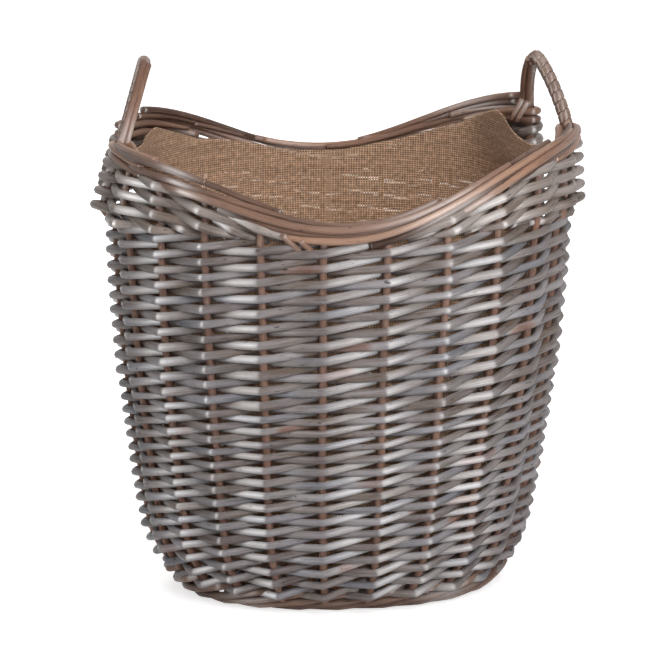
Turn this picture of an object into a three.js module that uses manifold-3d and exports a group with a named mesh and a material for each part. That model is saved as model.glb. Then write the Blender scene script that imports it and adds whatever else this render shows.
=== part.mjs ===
// A tall oval basket of woven rods with two wrapped bow handles and a cloth lining.
// Millimetres, +Z up. The origin is on the ground under the middle of the basket,
// +X runs to the right handle and -Y to the front.
import * as THREE from 'three';
import Module from 'manifold-3d';
import { mergeVertices } from 'three/addons/utils/BufferGeometryUtils.js';

const wasm = await Module();
wasm.setup();

// Plan and profile of the side wall, measured to the middle of its thickness
const RIM_HALF_WIDTH = 223;
const OVAL = 41; // the basket is this much shallower than wide, each way from its middle
const FLARE = 53; // how far the wall widens between the ground and the rim
const TUCK = 27; // how far the foot is drawn in below the flare
const TUCK_HEIGHT = 110;

// Rim
const RIM_SIDE_HEIGHT = 459;
const RIM_SWOOP = 54; // how far the rim dips at the front and at the back
const SWOOP_POWER = 5; // a high power keeps the ends level and the dip narrow
const RIM_RIGHT_RISE = 5; // the handmade rim stands higher at the right
const RIM_BACK_RISE = 4; // and at the back
const BORDER_ROD_DIAMETER = 8;
const FRONT_BORDER_RODS = 4;
const BACK_BORDER_RODS = 3;
const BORDER_SEAT = 3; // space under the border where its rods bed down between the stakes
const BORDER_TURNS = 1.25; // turns of the rods round each other along one border

// Stakes and the rods woven through them
const STAKE_COUNT = 23; // odd, so that one spiral rod alternates by itself
const STAKE_TURN = THREE.MathUtils.degToRad(-97.3);
const STAKE_DIAMETER = 7.2;
const WEAVER_THICKNESS = 7.2;
const WEAVER_HEIGHT = 7.9;
const ROW_PITCH = 8.8;
const COURSES = 4; // bundles of rods that the level rows are worked in

// Foot and base
const FOOT_WIDTH = 18;
const FOOT_HEIGHT = 16;
const FOOT_ROUNDING = 3;
const SPOKE_COUNT = 13;
const SPOKE_DIAMETER = 6.4;
const SPOKE_SIDES = 6;
const BASE_WEAVER_DIAMETER = 5;
const BASE_HEIGHT = 12;
const BASE_ROUNDS = 7;
const BASE_HUB_RADIUS = 30;

// Handles
const BOW_DIAMETER = 9.4;
const BOW_DEPTH_IN_WALL = 70;
const BOW_RISE_RIGHT = 62; // from the rim to the middle of the bow at its top
const BOW_RISE_LEFT = 78;
const BOW_LEAN_RIGHT = 9; // how far the top leans in over the basket
const BOW_LEAN_LEFT = 17;
const BOW_SQUARENESS = 0.72; // below 1 the arch has fuller shoulders than an ellipse
const BOW_STEPS = 26;
const BOW_SIDES = 8;
const WRAP_PITCH = 10.4;
const WRAP_STEPS = 12;
const WRAP_THICKNESS = 1.8;
const WRAP_WIDTH = 7;
const WRAP_CLEARANCE = 0.6; // room for the straight strip on the bent bow
const WRAP_START = 3; // clear height between the border and the first loop

// Lining
const LINING_THICKNESS = 1.6;
const LINING_CLEARANCE = 1;
const LINING_DROP = 2; // the hem lies this far below the border

const CLEARANCE = 0.3;

// Counts that set how finely curves are divided
const TUCK_STEPS = 5;
const WALL_STEPS = 4;
const ROD_SIDES = 5;
const BORDER_STEPS = 24;
const BORDER_SIDES = 6;
const OVAL_SEGMENTS = 46;

const UP = new THREE.Vector3(0, 0, 1);

const greyRod = new THREE.MeshStandardMaterial({ color: 0x968c82, roughness: 0.7, metalness: 0 });
const brownRod = new THREE.MeshStandardMaterial({ color: 0x82645a, roughness: 0.7, metalness: 0 });
const tanRod = new THREE.MeshStandardMaterial({ color: 0x9b7a66, roughness: 0.65, metalness: 0 });
const wrapRod = new THREE.MeshStandardMaterial({ color: 0x968273, roughness: 0.65, metalness: 0 });
const hessian = new THREE.MeshStandardMaterial({ color: 0xa88764, roughness: 0.95, metalness: 0 });

const basket = new THREE.Group();

function addPiece(name, geometry, material) {
  const mesh = new THREE.Mesh(geometry, material);
  mesh.name = name;
  basket.add(mesh);
}

// Rim and wall as functions of the plan angle and the height

function rimHeight(angle) {
  const dip = RIM_SWOOP * Math.abs(Math.sin(angle)) ** SWOOP_POWER;
  return RIM_SIDE_HEIGHT - dip + RIM_RIGHT_RISE * Math.cos(angle) + RIM_BACK_RISE * Math.sin(angle);
}

function smoothHalfWidth(z) {
  const flare = FLARE * (1 - z / RIM_SIDE_HEIGHT) ** 2;
  const tuck = TUCK * Math.max(0, 1 - z / TUCK_HEIGHT) ** 2;
  return RIM_HALF_WIDTH - flare - tuck;
}

// The wall is straight between these heights, so that stakes, rods and lining agree exactly
const topLevel = RIM_SIDE_HEIGHT + RIM_RIGHT_RISE + RIM_BACK_RISE + BOW_RISE_LEFT;
const levels = [];
for (let i = 0; i < TUCK_STEPS; i += 1) {
  levels.push(THREE.MathUtils.lerp(FOOT_HEIGHT, TUCK_HEIGHT, i / TUCK_STEPS));
}
for (let i = 0; i < WALL_STEPS; i += 1) {
  levels.push(THREE.MathUtils.lerp(TUCK_HEIGHT, RIM_SIDE_HEIGHT, i / WALL_STEPS));
}
levels.push(RIM_SIDE_HEIGHT, topLevel);

function halfWidth(z) {
  const last = levels.length - 2;
  let i = 0;
  while (i < last && z > levels[i + 1]) {
    i += 1;
  }
  const share = (z - levels[i]) / (levels[i + 1] - levels[i]);
  return THREE.MathUtils.lerp(smoothHalfWidth(levels[i]), smoothHalfWidth(levels[i + 1]), share);
}

function wallSlope(z) {
  const step = ROW_PITCH / 2;
  return Math.abs(halfWidth(z + step) - halfWidth(z - step)) / ROW_PITCH;
}

function wallPoint(angle, z, offset = 0, along = 0) {
  const a = halfWidth(z);
  const b = a - OVAL;
  const outward = new THREE.Vector3(Math.cos(angle) / a, Math.sin(angle) / b, 0).normalize();
  const forward = new THREE.Vector3(-outward.y, outward.x, 0);
  const point = new THREE.Vector3(a * Math.cos(angle), b * Math.sin(angle), z);
  return point.addScaledVector(outward, offset).addScaledVector(forward, along);
}

const stakeIndexes = Array.from({ length: STAKE_COUNT }, (_, index) => index);

function stakeAngle(index) {
  return STAKE_TURN + (index / STAKE_COUNT) * 2 * Math.PI;
}

// Sections and sweeps

function roundSection(diameter, sides) {
  const points = [];
  for (let i = 0; i < sides; i += 1) {
    const turn = ((i + 0.5) / sides) * 2 * Math.PI;
    points.push(new THREE.Vector2(Math.cos(turn), Math.sin(turn)).multiplyScalar(diameter / 2));
  }
  return points;
}

function flatSection(width, height) {
  const x = width / 2;
  const y = height / 2;
  return [[x, -y], [x, y], [-x, y], [-x, -y]].map(([u, v]) => new THREE.Vector2(u, v));
}

// Carries a section along a path. The section's x is across the path and square to `up`,
// its y is along `up`. Corners are mitred across the path, and both ends are closed.
function sweep(path, section, up) {
  const count = section.length;
  const last = path.length - 1;
  const direction = (from, to) => new THREE.Vector3().subVectors(path[to], path[from]).normalize();
  const positions = [];
  path.forEach((point, i) => {
    const enter = direction(Math.max(i - 1, 0), Math.max(i, 1));
    const leave = direction(Math.min(i, last - 1), Math.min(i + 1, last));
    const tangent = enter.clone().add(leave).normalize();
    const upward = typeof up === 'function' ? up(i) : up;
    const across = new THREE.Vector3().crossVectors(tangent, upward).normalize();
    const rise = new THREE.Vector3().crossVectors(across, tangent);
    const mitre = 1 / tangent.dot(enter);
    section.forEach(({ x, y }) => {
      const corner = point.clone().addScaledVector(across, x * mitre).addScaledVector(rise, y);
      positions.push(corner.x, corner.y, corner.z);
    });
  });
  const index = [];
  for (let i = 0; i < last; i += 1) {
    for (let j = 0; j < count; j += 1) {
      const a = i * count + j;
      const b = i * count + ((j + 1) % count);
      index.push(a, b + count, b, a, a + count, b + count);
    }
  }
  const end = last * count;
  for (let j = 1; j + 1 < count; j += 1) {
    index.push(0, j, j + 1, end, end + j + 1, end + j);
  }
  return solid(positions, index);
}

function solid(positions, index) {
  const geometry = new THREE.BufferGeometry();
  geometry.setAttribute('position', new THREE.Float32BufferAttribute(positions, 3));
  geometry.setIndex(index);
  return geometry;
}

// Joins rings of points, each to the next and the last to the first, as a tube that closes on itself
function ringLoft(rings) {
  const count = rings[0].length;
  const positions = rings.flat().flatMap((point) => point.toArray());
  const index = [];
  rings.forEach((_, i) => {
    const next = ((i + 1) % rings.length) * count;
    for (let j = 0; j < count; j += 1) {
      const k = (j + 1) % count;
      index.push(i * count + j, i * count + k, next + k, i * count + j, next + k, next + j);
    }
  });
  return solid(positions, index);
}

// Handle places: each bow has one leg in line with a stake at each side of its end of the oval

const bows = {
  right: { legs: [6, 8], rise: BOW_RISE_RIGHT, lean: BOW_LEAN_RIGHT },
  left: { legs: [18, 16], rise: BOW_RISE_LEFT, lean: BOW_LEAN_LEFT },
};
const legStakes = new Set([...bows.right.legs, ...bows.left.legs]);

function bowFoot(index) {
  return rimHeight(stakeAngle(index)) - BOW_DEPTH_IN_WALL;
}

// How far a woven rod stands off the middle of the wall where it passes a stake.
// A leaning upright and the bend of the rod both push it further out.
function passing(index, z, side) {
  const besideBow = legStakes.has(index) && z > bowFoot(index) - WEAVER_HEIGHT;
  const upright = besideBow ? BOW_DIAMETER : STAKE_DIAMETER;
  const slope = wallSlope(z);
  const stand = (upright / 2 + CLEARANCE) * Math.hypot(1, slope) + (WEAVER_HEIGHT / 2) * slope;
  const reach = stand + WEAVER_THICKNESS / 2;
  const spacing = ((halfWidth(z) - OVAL) * 2 * Math.PI) / STAKE_COUNT;
  const bend = Math.atan((2 * reach) / spacing) + (side * Math.PI) / STAKE_COUNT;
  return (side * reach) / Math.cos(bend);
}

// Inner face of the woven wall, measured in from its middle
function innerFace(z) {
  const deepest = Math.max(...stakeIndexes.map((index) => -passing(index, z, -1)));
  return deepest + WEAVER_THICKNESS / 2 + (WEAVER_HEIGHT / 2) * wallSlope(z);
}

// Side weaving: level rows up to the lowest part of the rim

function borderRing(rods) {
  return (BORDER_ROD_DIAMETER + CLEARANCE * 2) / (2 * Math.sin(Math.PI / rods));
}

function borderRadius(angle) {
  const rods = Math.sin(angle) < 0 ? FRONT_BORDER_RODS : BACK_BORDER_RODS;
  return borderRing(rods) + BORDER_ROD_DIAMETER / 2;
}

function rimSlope(angle) {
  const step = Math.PI / STAKE_COUNT / 2;
  const before = wallPoint(angle - step, RIM_SIDE_HEIGHT);
  const after = wallPoint(angle + step, RIM_SIDE_HEIGHT);
  return Math.abs(rimHeight(angle + step) - rimHeight(angle - step)) / before.distanceTo(after);
}

function borderUnderside(angle) {
  const slope = rimSlope(angle);
  const drop = borderRadius(angle) * Math.hypot(1, slope) + (STAKE_DIAMETER / 2) * slope;
  return rimHeight(angle) - drop - CLEARANCE;
}

function weaveTop(angle) {
  return borderUnderside(angle) - BORDER_SEAT;
}

// As many level rows as fit under the lowest part of the rim
const weaveStart = FOOT_HEIGHT + CLEARANCE + WEAVER_HEIGHT / 2;
const lowestTop = Math.min(...stakeIndexes.map((index) => weaveTop(stakeAngle(index))));
const levelRows = Math.floor((lowestTop - WEAVER_HEIGHT / 2 - weaveStart) / ROW_PITCH);

function rowHeight(step) {
  return weaveStart + (step / STAKE_COUNT) * ROW_PITCH;
}

function weaverSection() {
  return flatSection(WEAVER_THICKNESS, WEAVER_HEIGHT);
}

// Where the rod passes a stake, and at `along` past its middle. Even steps pass outside.
function passStake(step, along = 0) {
  const index = step % STAKE_COUNT;
  const z = rowHeight(step);
  return wallPoint(stakeAngle(index), z, passing(index, z, step % 2 === 0 ? 1 : -1), along);
}

for (let course = 0; course < COURSES; course += 1) {
  const first = Math.round((course / COURSES) * levelRows) * STAKE_COUNT;
  const next = Math.round(((course + 1) / COURSES) * levelRows) * STAKE_COUNT;
  const path = [];
  for (let step = first; step < next; step += 1) {
    path.push(passStake(step));
  }
  addPiece(`side_weave_${course + 1}`, sweep(path, weaverSection(), UP), greyRod);
}

// Packing: in each corner between the level rows and the rim one rod goes to and fro. It turns
// back round a leg of the bow, so that the hand hole stays open, and round ever nearer stakes.

function packingPath(leg, middle) {
  const direction = Math.sign(middle - leg);
  const stepAt = (index, row) => (levelRows + row) * STAKE_COUNT + index;
  const fits = (index, row) =>
    rowHeight(stepAt(index, row)) + WEAVER_HEIGHT / 2 < weaveTop(stakeAngle(index));
  const turnAt = (row, index, away) => {
    const z = rowHeight(stepAt(index, row));
    const clear = away * Math.max(passing(index, z, 1), -passing(index, z, -1));
    return [passStake(stepAt(index, row), clear), passStake(stepAt(index, row + 1), clear)];
  };
  const path = [];
  for (let row = 0; fits(leg + direction, row + 1); row += 2) {
    const stakes = [leg];
    while (stakes.at(-1) + direction !== middle && fits(stakes.at(-1) + direction, row + 1)) {
      stakes.push(stakes.at(-1) + direction);
    }
    if (row > 0) {
      path.push(...turnAt(row - 1, leg, -direction));
    }
    path.push(...stakes.map((index) => passStake(stepAt(index, row))));
    path.push(...turnAt(row, stakes.at(-1), direction));
    path.push(...stakes.reverse().map((index) => passStake(stepAt(index, row + 1))));
  }
  return path;
}

const backMiddle = Math.round(STAKE_COUNT / 2);
const corners = {
  front_right: [bows.right.legs[0], 0],
  back_right: [bows.right.legs[1], backMiddle],
  back_left: [bows.left.legs[1], backMiddle],
  front_left: [bows.left.legs[0], STAKE_COUNT],
};
for (const [name, [leg, middle]] of Object.entries(corners)) {
  addPiece(`packing_${name}`, sweep(packingPath(leg, middle), weaverSection(), UP), greyRod);
}

// Stakes stand on the foot border and reach the rim border or the foot of a bow.
// The one stake between the legs of a bow ends with the level rows, below the hand hole.

const gapStakes = new Set(Object.values(bows).map(({ legs }) => (legs[0] + legs[1]) / 2));

function stakeTop(index) {
  if (legStakes.has(index)) {
    return bowFoot(index) - CLEARANCE;
  }
  if (gapStakes.has(index)) {
    return rowHeight((levelRows - 1) * STAKE_COUNT + index) + WEAVER_HEIGHT / 2;
  }
  return borderUnderside(stakeAngle(index));
}

const footSlope = wallSlope(FOOT_HEIGHT);
const stakeTilt = ((STAKE_DIAMETER / 2) * footSlope) / Math.hypot(1, footSlope);
const stakeStart = FOOT_HEIGHT + CLEARANCE + stakeTilt;
for (const index of stakeIndexes) {
  const angle = stakeAngle(index);
  const top = stakeTop(index);
  const heights = levels.filter((level) => level < top - CLEARANCE);
  heights[0] = stakeStart;
  const path = [...heights, top].map((z) => wallPoint(angle, z));
  const along = wallPoint(angle, top, 0, 1).sub(wallPoint(angle, top));
  const name = `stake_${String(index + 1).padStart(2, '0')}`;
  addPiece(name, sweep(path, roundSection(STAKE_DIAMETER, ROD_SIDES), along), brownRod);
}

// Rim borders: rods rolled round each other, from one bow to the next

function borderRod(from, to, rods, number) {
  const ring = borderRing(rods);
  const path = [];
  for (let i = 0; i <= BORDER_STEPS; i += 1) {
    const share = i / BORDER_STEPS;
    const angle = THREE.MathUtils.lerp(from, to, share);
    const turn = (number / rods + share * BORDER_TURNS) * 2 * Math.PI;
    const middle = wallPoint(angle, rimHeight(angle), ring * Math.cos(turn));
    path.push(middle.addScaledVector(UP, ring * Math.sin(turn) * Math.hypot(1, rimSlope(angle))));
  }
  return sweep(path, roundSection(BORDER_ROD_DIAMETER, BORDER_SIDES), UP);
}

const wrapRadius = BOW_DIAMETER / 2 + WRAP_CLEARANCE + WRAP_THICKNESS;
const bowGap = (wrapRadius + CLEARANCE) / (RIM_HALF_WIDTH - OVAL);
const borders = {
  front: { rods: FRONT_BORDER_RODS, from: bows.left.legs[0], to: bows.right.legs[0] + STAKE_COUNT },
  back: { rods: BACK_BORDER_RODS, from: bows.right.legs[1], to: bows.left.legs[1] },
};
for (const [name, { rods, from, to }] of Object.entries(borders)) {
  for (let number = 0; number < rods; number += 1) {
    const geometry = borderRod(stakeAngle(from) + bowGap, stakeAngle(to) - bowGap, rods, number);
    addPiece(`${name}_border_rod_${number + 1}`, geometry, tanRod);
  }
}

// Foot border: a rounded oval ring with a flat underside

function ovalShape(a, b) {
  return new THREE.Shape().absellipse(0, 0, a, b, 0, 2 * Math.PI);
}

const footA = halfWidth(FOOT_HEIGHT);
const footB = footA - OVAL;
const footInset = FOOT_WIDTH / 2 - FOOT_ROUNDING;
const footRing = ovalShape(footA + footInset, footB + footInset);
footRing.holes.push(ovalShape(footA - footInset, footB - footInset));
const footGeometry = new THREE.ExtrudeGeometry(footRing, {
  depth: FOOT_HEIGHT - 2 * FOOT_ROUNDING,
  bevelSize: FOOT_ROUNDING,
  bevelThickness: FOOT_ROUNDING,
  bevelSegments: 1,
  curveSegments: OVAL_SEGMENTS / 2,
});
footGeometry.translate(0, 0, FOOT_ROUNDING);
addPiece('foot_border', footGeometry, brownRod);

// Base: spokes from a tied crossing, and a thin rod woven round them in a flat spiral

const baseA = footA - FOOT_WIDTH / 2 - CLEARANCE;
const baseB = footB - FOOT_WIDTH / 2 - CLEARANCE;

function toManifold(geometry) {
  const bare = geometry.clone();
  bare.deleteAttribute('normal');
  bare.deleteAttribute('uv');
  const merged = mergeVertices(bare, 1e-4);
  const vertProperties = new Float32Array(merged.attributes.position.array);
  const triVerts = new Uint32Array(merged.index.array);
  return new wasm.Manifold(new wasm.Mesh({ numProp: 3, vertProperties, triVerts }));
}

function fromManifold(joined) {
  const { vertProperties, triVerts } = joined.getMesh();
  return solid(Array.from(vertProperties), Array.from(triVerts));
}

function spokeAngle(index) {
  return (index / SPOKE_COUNT) * 2 * Math.PI;
}

const hub = new THREE.CylinderGeometry(BASE_HUB_RADIUS, BASE_HUB_RADIUS, SPOKE_DIAMETER, SPOKE_COUNT);
let slath = toManifold(hub.rotateX(Math.PI / 2).translate(0, 0, BASE_HEIGHT));
for (let index = 0; index < SPOKE_COUNT; index += 1) {
  const angle = spokeAngle(index);
  const reach = new THREE.Vector3(footA * Math.cos(angle), footB * Math.sin(angle), 0);
  const root = reach.clone().setLength(BASE_HUB_RADIUS / 2).setZ(BASE_HEIGHT);
  const tip = reach.setZ(BASE_HEIGHT);
  slath = slath.add(toManifold(sweep([root, tip], roundSection(SPOKE_DIAMETER, SPOKE_SIDES), UP)));
}
const trim = new THREE.ExtrudeGeometry(ovalShape(baseA, baseB), {
  depth: FOOT_HEIGHT + SPOKE_DIAMETER,
  bevelEnabled: false,
  curveSegments: OVAL_SEGMENTS / 2,
});
slath = slath.intersect(toManifold(trim));
addPiece('base_slath', fromManifold(slath), brownRod);

const basePath = [];
const baseReach = SPOKE_DIAMETER / 2 + CLEARANCE + BASE_WEAVER_DIAMETER / 2;
const baseSteps = BASE_ROUNDS * SPOKE_COUNT;
const innerScale = (BASE_HUB_RADIUS + 3 * BASE_WEAVER_DIAMETER) / baseB;
const outerScale = (footB - innerFace(weaveStart) - LINING_CLEARANCE - BASE_WEAVER_DIAMETER / 2) / baseB;
for (let step = 0; step <= baseSteps; step += 1) {
  const angle = spokeAngle(step % SPOKE_COUNT);
  const scale = THREE.MathUtils.lerp(innerScale, outerScale, step / baseSteps);
  const side = step % 2 === 0 ? 1 : -1;
  const spacing = (baseB * scale * 2 * Math.PI) / SPOKE_COUNT;
  const lift = baseReach / Math.cos(Math.atan((2 * baseReach) / spacing));
  basePath.push(new THREE.Vector3(
    baseA * scale * Math.cos(angle),
    baseB * scale * Math.sin(angle),
    BASE_HEIGHT + side * lift,
  ));
}
const baseSection = flatSection(BASE_WEAVER_DIAMETER, BASE_WEAVER_DIAMETER);
addPiece('base_weave', sweep(basePath, baseSection, UP), greyRod);

// Handles: a bow whose legs stand in the wall, and a flat strip wound round its arch

function bowPath({ legs, rise, lean }) {
  const [front, back] = legs.map((index) => {
    const angle = stakeAngle(index);
    return { foot: wallPoint(angle, bowFoot(index)), shoulder: wallPoint(angle, rimHeight(angle)) };
  });
  const middle = front.shoulder.clone().lerp(back.shoulder, 0.5);
  const inward = new THREE.Vector3(-Math.sign(middle.x), 0, 0);
  const arch = [];
  for (let i = 0; i <= BOW_STEPS; i += 1) {
    const turn = (i / BOW_STEPS) * Math.PI;
    const across = Math.sign(Math.cos(turn)) * Math.abs(Math.cos(turn)) ** BOW_SQUARENESS;
    const share = Math.sin(turn) ** BOW_SQUARENESS;
    const point = middle.clone().lerp(front.shoulder, across);
    arch.push(point.addScaledVector(UP, rise * share).addScaledVector(inward, lean * share));
  }
  const curve = new THREE.CatmullRomCurve3(arch);
  const span = new THREE.Vector3().subVectors(back.shoulder, front.shoulder);
  const height = curve.getPointAt(0.5).sub(middle);
  const square = span.cross(height).normalize();
  return { curve, square, path: [front.foot, ...curve.getSpacedPoints(BOW_STEPS), back.foot] };
}

function leastSelfGap(points, thickness, apart) {
  let least = Infinity;
  for (let i = 0; i < points.length; i += 1) {
    for (let j = i + apart; j < points.length; j += 1) {
      least = Math.min(least, points[i].distanceTo(points[j]) - thickness);
    }
  }
  return least;
}

for (const [end, bow] of Object.entries(bows)) {
  const { curve, square, path } = bowPath(bow);
  addPiece(`bow_${end}`, sweep(path, roundSection(BOW_DIAMETER, BOW_SIDES), square), brownRod);

  const length = curve.getLength();
  const start = (borderRadius(0) + WRAP_START) / length;
  const steps = Math.floor((length * (1 - 2 * start)) / WRAP_PITCH) * WRAP_STEPS;
  const centres = [];
  const outwards = [];
  for (let i = 0; i <= steps; i += 1) {
    const share = THREE.MathUtils.lerp(start, 1 - start, i / steps);
    const axis = curve.getTangentAt(share);
    const normal = new THREE.Vector3().crossVectors(square, axis).normalize();
    const turn = (i / WRAP_STEPS) * 2 * Math.PI;
    const outward = square.clone().multiplyScalar(Math.cos(turn)).addScaledVector(normal, Math.sin(turn));
    const inner = (BOW_DIAMETER / 2 + WRAP_CLEARANCE) / Math.cos(Math.PI / WRAP_STEPS);
    centres.push(curve.getPointAt(share).addScaledVector(outward, inner + WRAP_THICKNESS / 2));
    outwards.push(outward);
  }
  const strip = flatSection(WRAP_WIDTH, WRAP_THICKNESS);
  addPiece(`wrapping_${end}`, sweep(centres, strip, (i) => outwards[i]), wrapRod);
  const gap = leastSelfGap(centres, WRAP_WIDTH, WRAP_STEPS);
  console.log(`wrapping_${end}: least gap between loops ${gap.toFixed(2)} mm`);
}

// Lining: a cloth wall inside the weave, and a cloth base on the base weave

const baseTop = Math.max(...basePath.map(({ z }) => z)) + BASE_WEAVER_DIAMETER / 2;
const liningFloor = baseTop + 2 * CLEARANCE;
const liningWallStart = liningFloor + LINING_THICKNESS + CLEARANCE;

function liningPoint(angle, z, inset = 0) {
  return wallPoint(angle, z, -(innerFace(z) + LINING_CLEARANCE + inset));
}

function liningRing(inset, heightAt) {
  return stakeIndexes.map((index) => liningPoint(stakeAngle(index), heightAt(stakeAngle(index)), inset));
}

const lowestHem = lowestTop - LINING_DROP;
const liningHeights = [
  () => liningWallStart,
  ...levels.filter((z) => z > liningWallStart && z < lowestHem).map((z) => () => z),
  (angle) => weaveTop(angle) - LINING_DROP,
];
const outerRings = liningHeights.map((heightAt) => liningRing(0, heightAt));
const innerRings = liningHeights.map((heightAt) => liningRing(LINING_THICKNESS, heightAt));
addPiece('lining_wall', ringLoft([...outerRings, ...innerRings.reverse()]), hessian);

const floorOutline = liningRing(0, () => liningFloor).map(({ x, y }) => new THREE.Vector2(x, y));
const floorGeometry = new THREE.ExtrudeGeometry(new THREE.Shape(floorOutline), {
  depth: LINING_THICKNESS,
  bevelEnabled: false,
});
floorGeometry.translate(0, 0, liningFloor);
addPiece('lining_base', floorGeometry, hessian);

export default basket;
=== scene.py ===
# %% [markdown]
# # A lined wicker basket
# This lesson dresses a tall oval basket: grey-washed willow rods woven round brown stakes, a rolled
# border that dips at the front and back, two wrapped bow handles and a loose cloth lining. The solid
# model is loaded first. It fixes where everything is, and each piece made here stands in its place.

# %% Load the frame
import math
import random

import bmesh
import bpy
import numpy as np
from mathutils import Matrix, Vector, noise


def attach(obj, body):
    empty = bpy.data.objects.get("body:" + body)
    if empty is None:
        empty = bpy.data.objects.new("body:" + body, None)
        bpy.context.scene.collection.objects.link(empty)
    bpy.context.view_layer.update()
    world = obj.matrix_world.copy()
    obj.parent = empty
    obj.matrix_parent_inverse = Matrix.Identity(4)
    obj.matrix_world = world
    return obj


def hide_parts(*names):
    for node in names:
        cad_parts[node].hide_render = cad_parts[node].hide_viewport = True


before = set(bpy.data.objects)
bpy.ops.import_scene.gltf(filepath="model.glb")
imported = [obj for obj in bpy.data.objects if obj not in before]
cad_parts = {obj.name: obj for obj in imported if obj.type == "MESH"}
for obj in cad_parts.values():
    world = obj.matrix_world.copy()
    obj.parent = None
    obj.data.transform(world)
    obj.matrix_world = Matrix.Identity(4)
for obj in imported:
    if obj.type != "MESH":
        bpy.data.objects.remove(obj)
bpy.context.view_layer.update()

rng = random.Random(11)

# %% [markdown]
# ## Camera
# The photograph was taken from far away with a long lens, a little to the left and a little above.
# A long lens keeps the rows of weaving almost parallel. The camera could be placed by eye, but a target
# point, two angles and a distance are easier to adjust and to explain.

# %% Camera
TARGET = Vector((-0.0038, 0.0, 0.2585))
CAMERA_TURN = math.radians(4.5)
CAMERA_TILT = math.radians(14.0)
CAMERA_DISTANCE = 3.5
FRAME_WIDTH = 0.665

look = Vector((math.sin(CAMERA_TURN) * math.cos(CAMERA_TILT),
               math.cos(CAMERA_TURN) * math.cos(CAMERA_TILT),
               -math.sin(CAMERA_TILT)))
lens = bpy.data.cameras.new("camera")
lens.sensor_width = 36.0
lens.lens = lens.sensor_width * CAMERA_DISTANCE / FRAME_WIDTH
lens.clip_end = 50.0
camera = bpy.data.objects.new("camera", lens)
camera.location = TARGET - look * CAMERA_DISTANCE
camera.rotation_euler = look.to_track_quat("-Z", "Y").to_euler()
bpy.context.scene.collection.objects.link(camera)
bpy.context.scene.camera = camera
print("camera at", tuple(round(x, 3) for x in camera.location), "lens", round(lens.lens, 1), "mm")

# %% [markdown]
# ## Nodes in few words
# Every material below is a small network of nodes. A few helpers keep that readable: they add a node with
# its values and wires, do sums, stretch a range, and blend colours. One more turns the familiar 0 to 255
# colour numbers into the linear values that the renderer works with.

# %% Node helpers
def add_node(tree, kind, values=None, wires=None):
    made = tree.nodes.new(kind)
    for socket, value in (values or {}).items():
        made.inputs[socket].default_value = value
    for socket, source in (wires or {}).items():
        tree.links.new(source, made.inputs[socket])
    return made


def calculate(tree, operation, *terms):
    made = tree.nodes.new("ShaderNodeMath")
    made.operation = operation
    for socket, term in zip(made.inputs, terms):
        if isinstance(term, (int, float)):
            socket.default_value = term
        else:
            tree.links.new(term, socket)
    return made.outputs[0]


def stretch(tree, source, low, high, to_low=0.0, to_high=1.0):
    return add_node(tree, "ShaderNodeMapRange",
                    {"From Min": low, "From Max": high, "To Min": to_low, "To Max": to_high},
                    {"Value": source}).outputs[0]


# %% Colour helpers
def colour(red, green, blue):
    def linear(x):
        x = x / 255
        return x / 12.92 if x <= 0.04045 else ((x + 0.055) / 1.055) ** 2.4
    return (linear(red), linear(green), linear(blue), 1.0)


def mix_colours(tree, factor, first, second):
    mix = tree.nodes.new("ShaderNodeMix")
    mix.data_type = "RGBA"
    tree.links.new(factor, mix.inputs["Factor"])
    tree.links.new(first, mix.inputs[6])
    mix.inputs[7].default_value = second
    return mix.outputs[2]


def colour_ramp(tree, source, stops):
    made = add_node(tree, "ShaderNodeValToRGB", wires={"Fac": source})
    elements = made.color_ramp.elements
    elements[0].position, elements[0].color = stops[0]
    elements[1].position, elements[1].color = stops[-1]
    for position, shade in stops[1:-1]:
        elements.new(position).color = shade
    return made.outputs["Color"]


def new_material(name):
    material = bpy.data.materials.new(name)
    material.use_nodes = True
    tree = material.node_tree
    return material, tree, tree.nodes["Principled BSDF"]


# %% [markdown]
# ## Floor, backdrop and light
# The studio is white. The floor is a wide pale sheet that takes the basket's shadow. For the camera it
# also glows, less near the basket than further out, so that it fades to white and keeps the shadow. The light
# on the basket is split in two. The boxes in front and behind give plain soft light without highlights. The
# two low ones at the sides give highlights only. So the shine of the rods, which makes the weaving
# readable, can be set without making the basket brighter as a whole.

# %% Floor
FLOOR_SIZE = 9.0
FLOOR_GREY = (0.75, 0.75, 0.75, 1.0)
GLOW_FROM, GLOW_TO = 0.25, 0.85
FLOOR_GLOW_NEAR, FLOOR_GLOW_FAR = 0.72, 1.0


def seen_directly(tree):
    path = add_node(tree, "ShaderNodeLightPath")
    seen = calculate(tree, "MAXIMUM", path.outputs["Is Camera Ray"], path.outputs["Is Glossy Ray"])
    return calculate(tree, "MAXIMUM", seen, path.outputs["Is Transmission Ray"])


floor_mesh = bpy.data.meshes.new("floor")
sheet = bmesh.new()
bmesh.ops.create_grid(sheet, x_segments=1, y_segments=1, size=FLOOR_SIZE)
sheet.to_mesh(floor_mesh)
sheet.free()
floor = bpy.data.objects.new("floor", floor_mesh)
bpy.context.scene.collection.objects.link(floor)

floor_paint, tree, shader = new_material("studio_floor")
tree.nodes.remove(shader)
matt = add_node(tree, "ShaderNodeBsdfDiffuse", {"Color": FLOOR_GREY})
place = add_node(tree, "ShaderNodeTexCoord")
distance = add_node(tree, "ShaderNodeVectorMath", wires={0: place.outputs["Object"]})
distance.operation = "LENGTH"
glowing = stretch(tree, distance.outputs["Value"], GLOW_FROM, GLOW_TO, FLOOR_GLOW_NEAR, FLOOR_GLOW_FAR)
strength = calculate(tree, "MULTIPLY", seen_directly(tree), glowing)
glow = add_node(tree, "ShaderNodeEmission", wires={"Strength": strength})
both = add_node(tree, "ShaderNodeAddShader", wires={0: matt.outputs[0], 1: glow.outputs[0]})
tree.links.new(both.outputs[0], tree.nodes["Material Output"].inputs["Surface"])
floor_mesh.materials.append(floor_paint)
print("floor", FLOOR_SIZE * 2, "m wide")

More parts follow.
